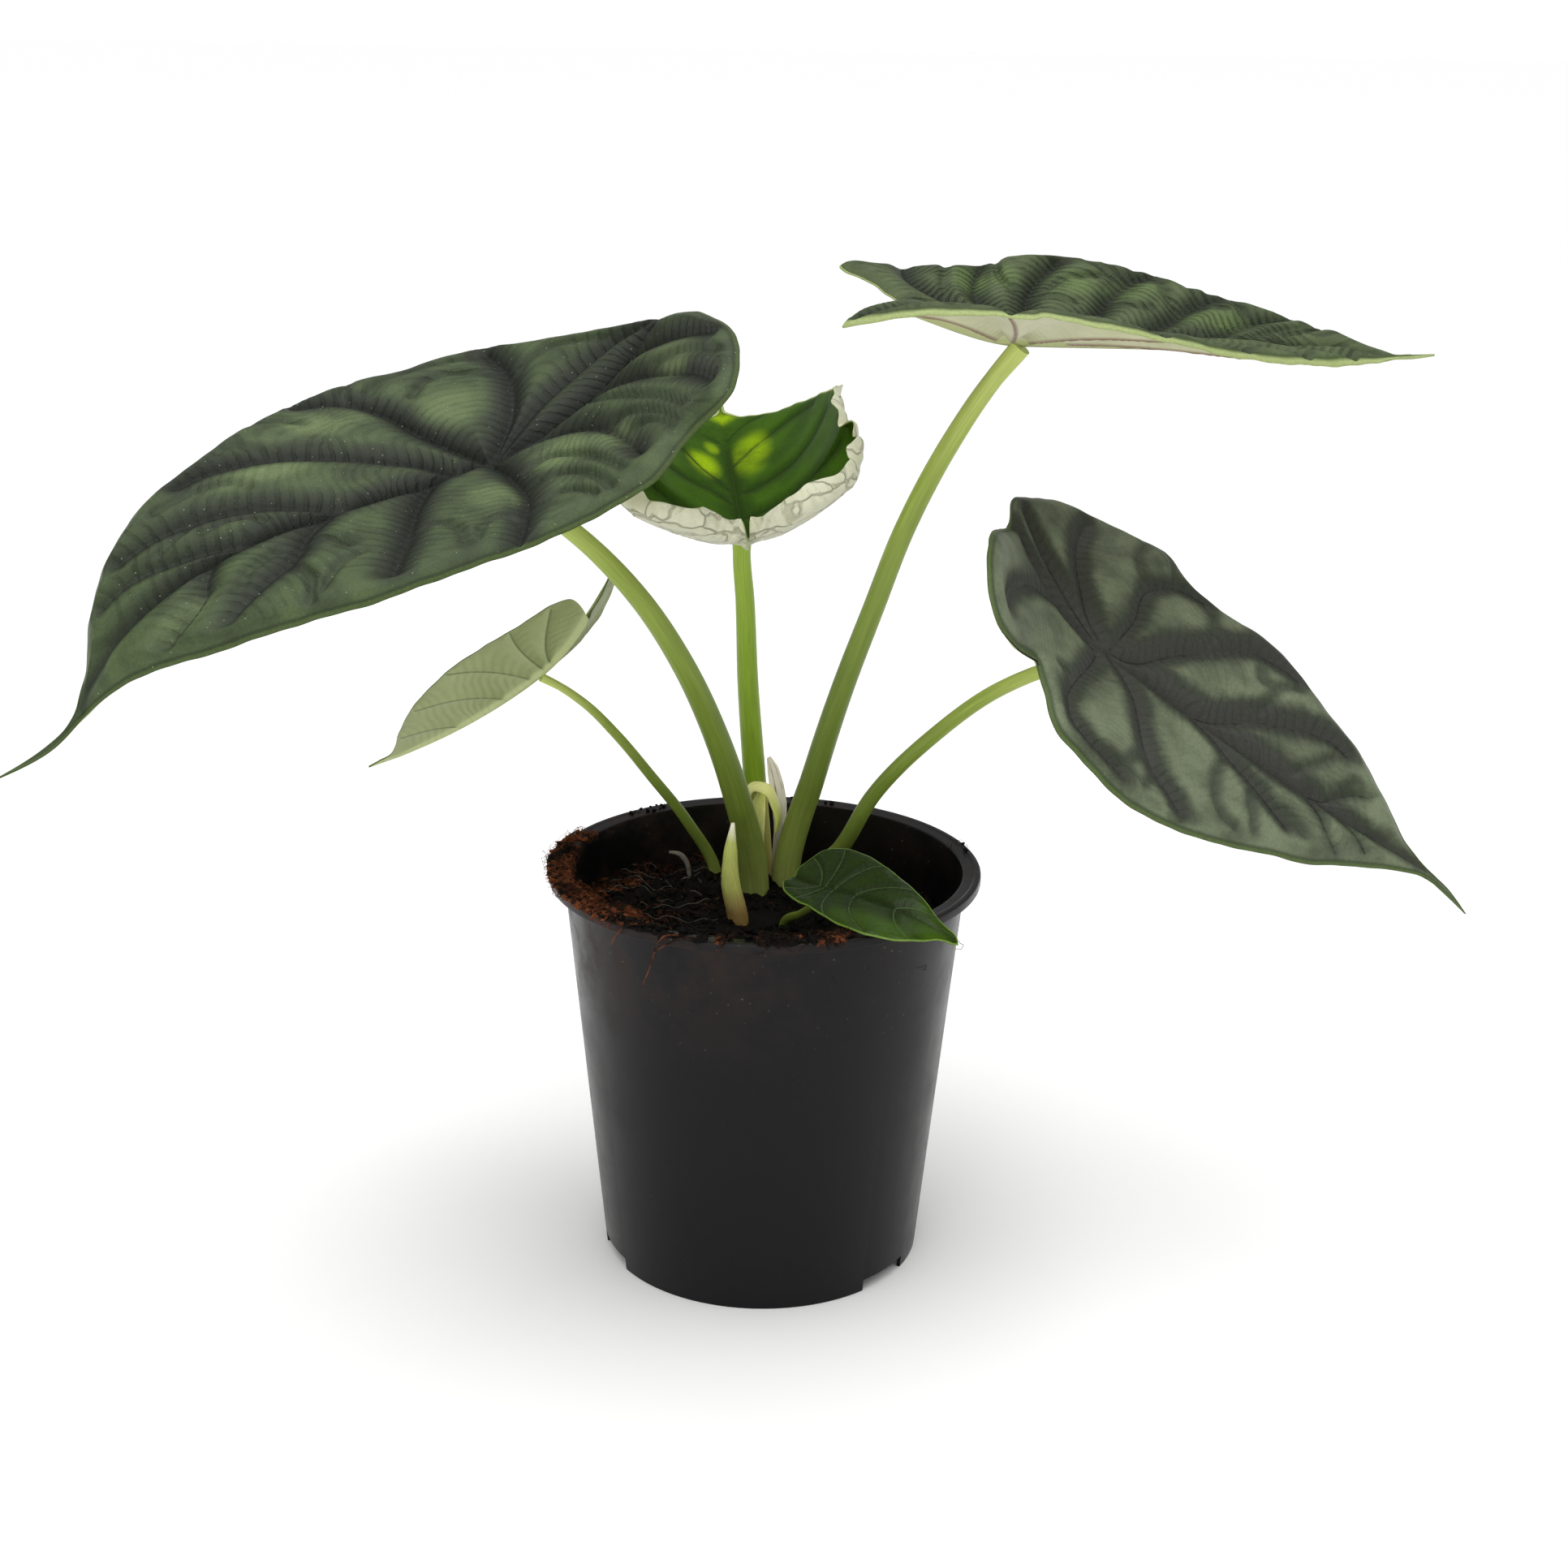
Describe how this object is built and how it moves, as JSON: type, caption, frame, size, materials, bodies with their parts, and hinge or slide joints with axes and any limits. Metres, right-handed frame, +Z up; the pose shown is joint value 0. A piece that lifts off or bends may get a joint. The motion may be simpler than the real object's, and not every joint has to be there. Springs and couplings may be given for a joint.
{
  "type": "potted alocasia",
  "caption": "Young dragon scale alocasia with shield-shaped, deeply ribbed silver-green leaves on arching stalks, in a round black nursery pot filled with peat.",
  "frame": {"origin": "on the floor, under the middle of the whole plant's box; the middle of the pot's foot is 4.9 mm to -X and 6.8 mm to -Y of it", "axes": "+Z up, the way the plant grows; -Y towards the front, where the smallest leaf lies over the rim; +X towards the silver leaf on the right"},
  "size_m": [0.3635, 0.2217, 0.2771],
  "materials": {
    "black_plastic": "satin",
    "peat": "moist loose peat with coir fibres",
    "dark_green_blade": "satin living leaf, dark green",
    "silver_green_blade": "satin living leaf, silvery green",
    "young_green_blade": "glossy young leaf, bright green",
    "stem_green": "smooth living stalk, yellow-green",
    "cream_sheath": "smooth young tissue, cream",
    "straw_sheath": "dry papery leaf base"
  },
  "bodies": {
    "root": {"blade_left": "dark_green_blade", "blade_right": "silver_green_blade", "blade_top": "dark_green_blade", "blade_back": "dark_green_blade", "blade_small_left": "silver_green_blade", "blade_small_front": "young_green_blade", "petiole_left": "stem_green", "petiole_right": "stem_green", "petiole_top": "stem_green", "petiole_back": "stem_green", "petiole_small_left": "stem_green", "petiole_small_front": "stem_green", "pot": "black_plastic", "soil": "peat", "shoot": "cream_sheath", "sheath_pale": "cream_sheath", "sheath_dry": "straw_sheath"}
  },
  "joints": []
}
